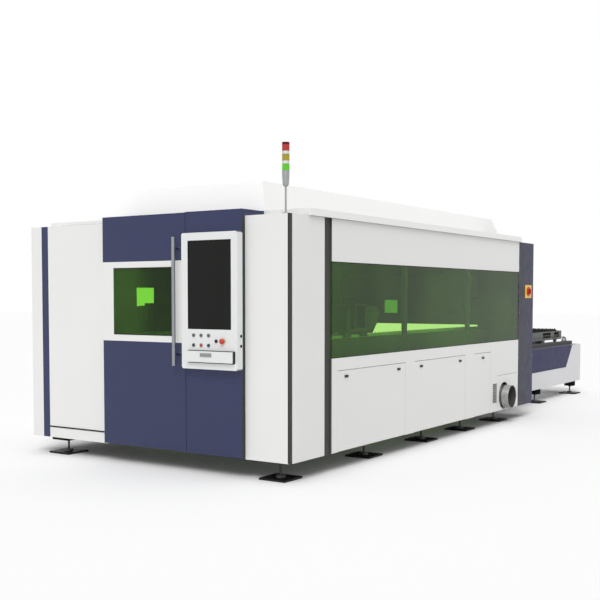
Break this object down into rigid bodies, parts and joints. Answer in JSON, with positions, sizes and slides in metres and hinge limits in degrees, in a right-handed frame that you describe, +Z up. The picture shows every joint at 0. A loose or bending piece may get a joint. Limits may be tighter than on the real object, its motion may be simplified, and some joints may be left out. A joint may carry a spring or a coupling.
{
  "type": "fiber laser cutting machine",
  "caption": "Enclosed sheet cutting machine with a sliding front door, a control console, a long green window and a pallet exchange table.",
  "frame": {"origin": "centre of the footprint's bounding box, on the floor", "axes": "+X along the machine from the front door towards the exchange table, +Y from the window side to the far side, +Z up"},
  "size_m": [8.256, 2.887, 2.5192],
  "materials": {
    "bed_paint": "satin",
    "bezel_grey": "satin",
    "blue_paint": "satin",
    "button_dark": "satin",
    "button_grey": "satin",
    "button_red": "satin",
    "chain_steel": "oiled",
    "console_white": "satin",
    "dark_trim": "matt",
    "foot_iron": "matt",
    "frame_paint": "satin",
    "gantry_alloy": "satin",
    "green_glass": "clear",
    "ground_steel": "ground",
    "handle_alloy": "anodised",
    "head_black": "anodised",
    "latch_black": "satin",
    "lens_plastic": "gloss",
    "motor_paint": "satin",
    "pallet_paint": "satin",
    "pan_steel": "mill finish",
    "pole_grey": "satin",
    "screen_black": "gloss",
    "shutter_grey": "satin",
    "slat_steel": "mill finish",
    "switch_red": "satin",
    "white_paint": "satin",
    "yellow_plastic": "satin",
    "zinc_pipe": "zinc plated"
  },
  "bodies": {
    "machine": {"welded_frame": "frame_paint", "levelling_feet": "foot_iron", "machine_bed": "bed_paint", "x_rails": "ground_steel", "near_side_panels": "white_paint", "far_side_panels": "white_paint", "front_panels": "white_paint", "dark_strips": "dark_trim", "rear_wall": "white_paint", "rear_cabinets": "blue_paint", "roof_lip": "white_paint", "roof_hood": "white_paint", "laser_windows": "green_glass", "door_portal": "blue_paint", "door_track": "ground_steel", "console_housing": "console_white", "console_screen": "screen_black", "console_bezels": "bezel_grey", "tower_pole": "pole_grey", "tower_lenses": "lens_plastic", "extraction_pipe": "zinc_pipe", "scrap_pans": "pan_steel", "table_frame": "frame_paint", "table_panels": "white_paint", "table_side_plates": "blue_paint", "pallet_rails": "ground_steel", "drive_motor": "motor_paint", "drive_chains": "chain_steel", "switch_plate": "yellow_plastic"},
    "front_door": {"door_leaf": "blue_paint", "door_glass": "green_glass", "door_handle": "handle_alloy"},
    "gantry": {"gantry_beam": "gantry_alloy"},
    "carriage": {"y_carriage": "gantry_alloy"},
    "head": {"cutting_head": "head_black"},
    "upper_pallet": {"upper_pallet_frame": "pallet_paint", "upper_pallet_slats": "slat_steel"},
    "lower_pallet": {"lower_pallet_frame": "pallet_paint", "lower_pallet_slats": "slat_steel"},
    "drive_axle": {"drive_shaft": "ground_steel"},
    "idler_axle": {"idler_shaft": "ground_steel"},
    "shutter": {"rear_shutter": "shutter_grey"},
    "door_left": {"side_door_left": "white_paint"},
    "door_middle": {"side_door_middle": "white_paint"},
    "door_right": {"side_door_right": "white_paint"},
    "latch_body_left_front": {"latch_left_front": "latch_black"},
    "latch_body_left_rear": {"latch_left_rear": "latch_black"},
    "latch_body_middle_front": {"latch_middle_front": "latch_black"},
    "latch_body_middle_rear": {"latch_middle_rear": "latch_black"},
    "latch_body_right": {"latch_right": "latch_black"},
    "tray": {"keyboard_tray": "console_white"},
    "push_upper_1": {"button_upper_1": "button_grey"},
    "push_upper_2": {"button_upper_2": "button_grey"},
    "push_upper_3": {"button_upper_3": "button_grey"},
    "push_lower_1": {"button_lower_1": "button_dark"},
    "push_lower_2": {"button_lower_2": "button_red"},
    "push_lower_3": {"button_lower_3": "button_dark"},
    "selector": {"selector_switch": "button_dark"},
    "stop_knob": {"emergency_stop": "button_red"},
    "isolator": {"main_switch": "switch_red"}
  },
  "joints": [
    {"name": "door_slide", "type": "slide", "parent": "machine", "child": "front_door", "axis": [0, 1, 0], "range_m": [0, 0.69]},
    {"name": "gantry_travel", "type": "slide", "parent": "machine", "child": "gantry", "axis": [1, 0, 0], "range_m": [-0.495, 2.505]},
    {"name": "carriage_travel", "type": "slide", "parent": "gantry", "child": "carriage", "axis": [0, 1, 0], "range_m": [-0.755, 0.755]},
    {"name": "head_lift", "type": "slide", "parent": "carriage", "child": "head", "axis": [0, 0, -1], "range_m": [0, 0.12]},
    {"name": "upper_pallet_travel", "type": "slide", "parent": "machine", "child": "upper_pallet", "axis": [-1, 0, 0], "range_m": [0, 3.5]},
    {"name": "lower_pallet_travel", "type": "slide", "parent": "machine", "child": "lower_pallet", "axis": [1, 0, 0], "range_m": [0, 3.5]},
    {"name": "drive_turn", "type": "hinge", "parent": "machine", "child": "drive_axle", "pos_m": [3.977, 0.035, 0.685], "axis": [0, 1, 0], "range_deg": [-1745, 0]},
    {"name": "idler_turn", "type": "hinge", "parent": "machine", "child": "idler_axle", "pos_m": [-2.738, 0.035, 0.685], "axis": [0, 1, 0], "range_deg": [-1745, 0]},
    {"name": "shutter_drop", "type": "slide", "parent": "machine", "child": "shutter", "axis": [0, 0, -1], "range_m": [0, 0.565]},
    {"name": "side_door_left_fold", "type": "hinge", "parent": "machine", "child": "door_left", "pos_m": [-2.7315, -1.3395, 0.165], "axis": [1, 0, 0], "range_deg": [0, 90]},
    {"name": "side_door_middle_fold", "type": "hinge", "parent": "machine", "child": "door_middle", "pos_m": [-1.4025, -1.3395, 0.165], "axis": [1, 0, 0], "range_deg": [0, 90]},
    {"name": "side_door_right_fold", "type": "hinge", "parent": "machine", "child": "door_right", "pos_m": [-0.3935, -1.3395, 0.165], "axis": [1, 0, 0], "range_deg": [0, 90]},
    {"name": "latch_left_front_turn", "type": "hinge", "parent": "door_left", "child": "latch_body_left_front", "pos_m": [-3.183, -1.3565, 0.75], "axis": [0, 1, 0], "range_deg": [0, 90]},
    {"name": "latch_left_rear_turn", "type": "hinge", "parent": "door_left", "child": "latch_body_left_rear", "pos_m": [-2.28, -1.3565, 0.75], "axis": [0, 1, 0], "range_deg": [0, 90]},
    {"name": "latch_middle_front_turn", "type": "hinge", "parent": "door_middle", "child": "latch_body_middle_front", "pos_m": [-1.835, -1.3565, 0.75], "axis": [0, 1, 0], "range_deg": [0, 90]},
    {"name": "latch_middle_rear_turn", "type": "hinge", "parent": "door_middle", "child": "latch_body_middle_rear", "pos_m": [-0.97, -1.3565, 0.75], "axis": [0, 1, 0], "range_deg": [0, 90]},
    {"name": "latch_right_turn", "type": "hinge", "parent": "door_right", "child": "latch_body_right", "pos_m": [-0.3935, -1.3565, 0.75], "axis": [0, 1, 0], "range_deg": [0, 90]},
    {"name": "tray_pull", "type": "slide", "parent": "machine", "child": "tray", "axis": [-1, 0, 0], "range_m": [0, 0.18]},
    {"name": "button_upper_1_press", "type": "slide", "parent": "machine", "child": "push_upper_1", "axis": [1, 0, 0], "range_m": [0, 0.003], "stiffness_N_per_m": 150},
    {"name": "button_upper_2_press", "type": "slide", "parent": "machine", "child": "push_upper_2", "axis": [1, 0, 0], "range_m": [0, 0.003], "stiffness_N_per_m": 150},
    {"name": "button_upper_3_press", "type": "slide", "parent": "machine", "child": "push_upper_3", "axis": [1, 0, 0], "range_m": [0, 0.003], "stiffness_N_per_m": 150},
    {"name": "button_lower_1_press", "type": "slide", "parent": "machine", "child": "push_lower_1", "axis": [1, 0, 0], "range_m": [0, 0.003], "stiffness_N_per_m": 150},
    {"name": "button_lower_2_press", "type": "slide", "parent": "machine", "child": "push_lower_2", "axis": [1, 0, 0], "range_m": [0, 0.003], "stiffness_N_per_m": 150},
    {"name": "button_lower_3_press", "type": "slide", "parent": "machine", "child": "push_lower_3", "axis": [1, 0, 0], "range_m": [0, 0.003], "stiffness_N_per_m": 150},
    {"name": "selector_turn", "type": "hinge", "parent": "machine", "child": "selector", "pos_m": [-4.098, -0.7465, 1.051], "axis": [1, 0, 0], "range_deg": [0, 60]},
    {"name": "stop_press", "type": "slide", "parent": "machine", "child": "stop_knob", "axis": [1, 0, 0], "range_m": [0, 0.005]},
    {"name": "isolator_turn", "type": "hinge", "parent": "machine", "child": "isolator", "pos_m": [0.912, -1.3735, 1.4455], "axis": [0, 1, 0], "range_deg": [0, 90]}
  ],
  "couplings": [
    {"joint": "lower_pallet_travel", "follows": "upper_pallet_travel", "ratio": 1},
    {"joint": "drive_turn", "follows": "upper_pallet_travel", "rad_per_m": -8.6957},
    {"joint": "idler_turn", "follows": "upper_pallet_travel", "rad_per_m": -8.6957}
  ]
}
